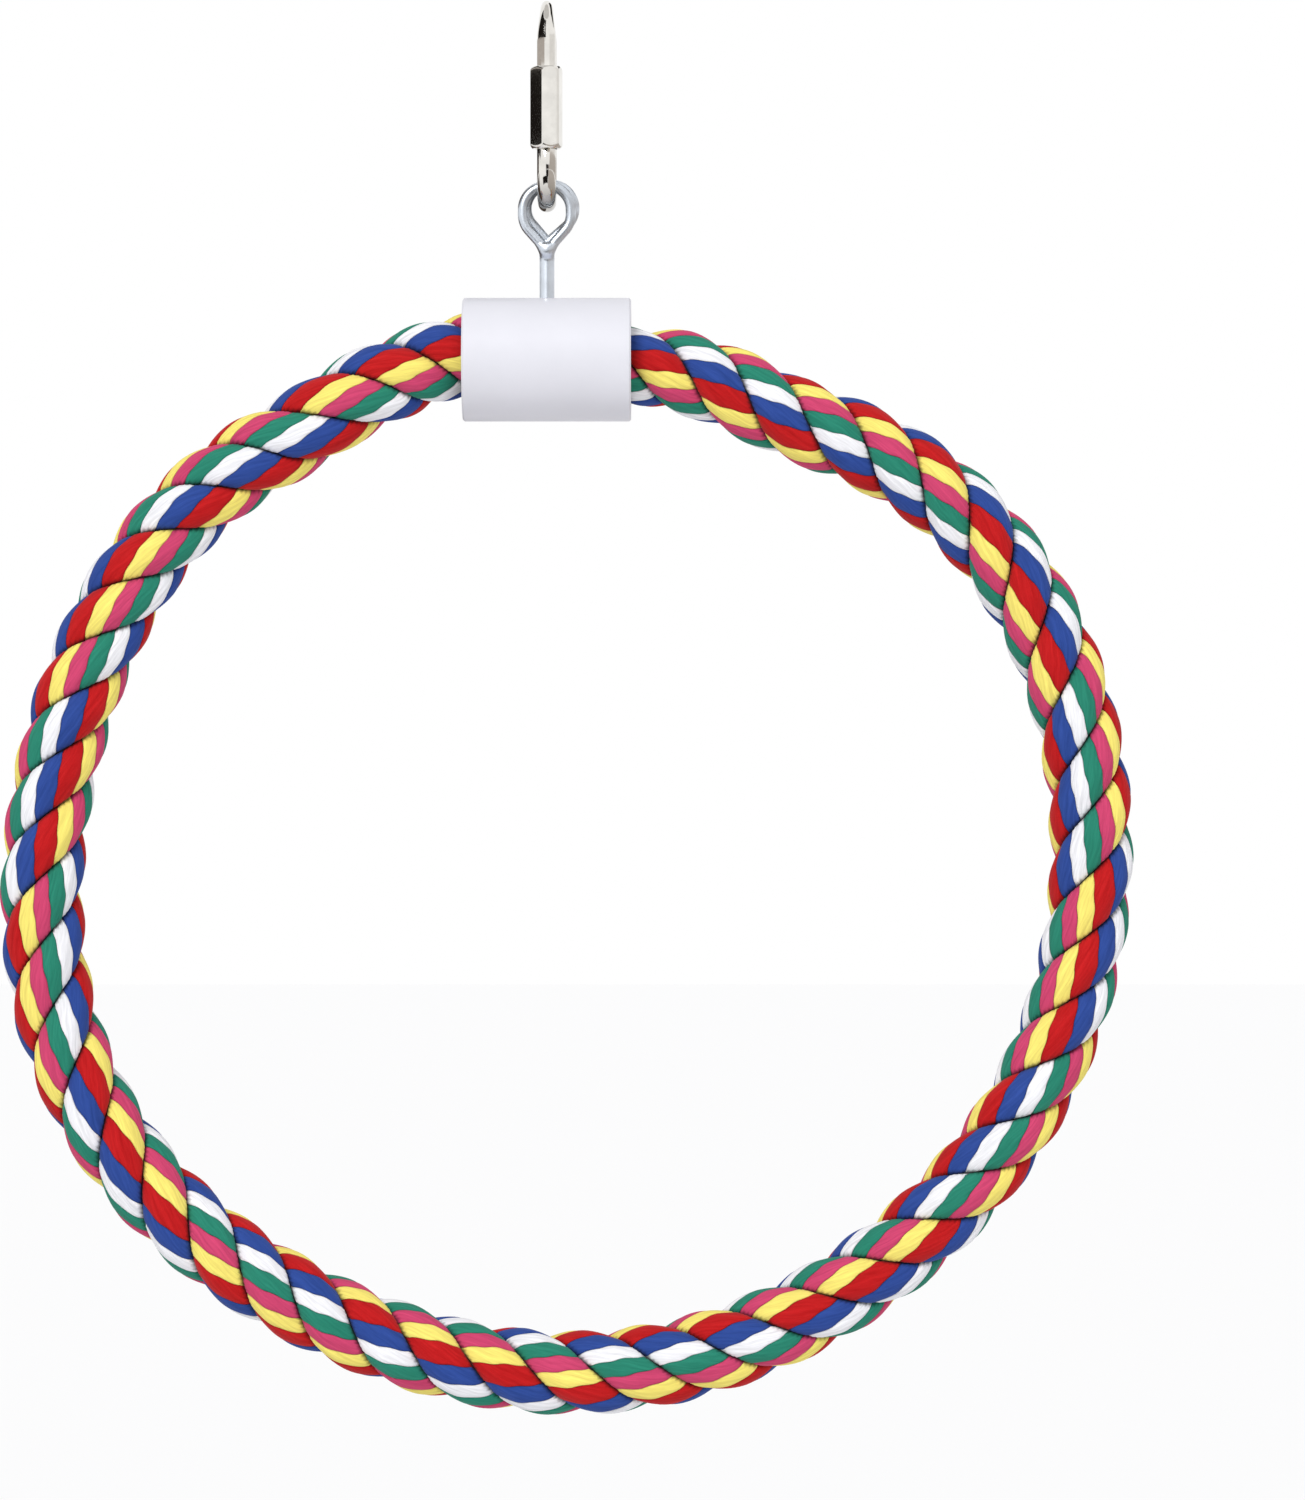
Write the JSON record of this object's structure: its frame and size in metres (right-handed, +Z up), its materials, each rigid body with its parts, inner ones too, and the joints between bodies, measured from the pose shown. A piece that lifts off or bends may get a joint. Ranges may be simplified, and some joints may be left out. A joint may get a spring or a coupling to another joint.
{
  "type": "bird ring swing",
  "caption": "Hanging ring swing for a pet bird: laid cotton rope closed in a plastic collar, on an eye bolt and a quick link.",
  "frame": {"origin": "underside of the quick link's top bend, where it rests on the bar that it hangs from", "axes": "+Z up, away from the ring; +X across the ring, along the collar; +Y through the ring, away from the link's nut"},
  "size_m": [0.3056, 0.0332, 0.3815],
  "materials": {
    "link_nickel": "bright nickel plate, warm grey",
    "bolt_zinc": "zinc plate, bluish and fairly bright",
    "nylon": "blue nylon",
    "collar_plastic": "satin white, slightly blue",
    "core_steel": "drawn steel wire",
    "tape": "cloth tape, off white",
    "yarn_red": "dyed cotton yarn, red",
    "yarn_yellow": "dyed cotton yarn, yellow",
    "yarn_blue": "dyed cotton yarn, blue",
    "yarn_pink": "dyed cotton yarn, pink",
    "yarn_green": "dyed cotton yarn, green",
    "yarn_white": "undyed cotton yarn, white"
  },
  "bodies": {
    "link": {"quick_link": "link_nickel"},
    "nut": {"link_nut": "link_nickel"},
    "hanger": {"eye_bolt": "bolt_zinc", "washer": "bolt_zinc", "lock_nut": "bolt_zinc", "lock_nut_insert": "nylon"},
    "ring": {"collar": "collar_plastic", "core_wire": "core_steel", "core_ferrule": "core_steel", "rope_strand_1": "yarn_red", "rope_strand_2": "yarn_yellow", "rope_strand_3": "yarn_blue", "end_wrap_left": "tape", "end_wrap_right": "tape"}
  },
  "joints": [
    {"name": "nut_travel", "type": "slide", "parent": "link", "child": "nut", "axis": [0, 0, 1], "range_m": [0, 0.0074]},
    {"name": "swing", "type": "hinge", "parent": "link", "child": "hanger", "pos_m": [0, 0, -0.04075], "axis": [1, 0, 0], "range_deg": [-60, 60]},
    {"name": "swivel", "type": "hinge", "parent": "hanger", "child": "ring", "pos_m": [0, 0, -0.08], "axis": [0, 0, 1], "continuous": true}
  ]
}
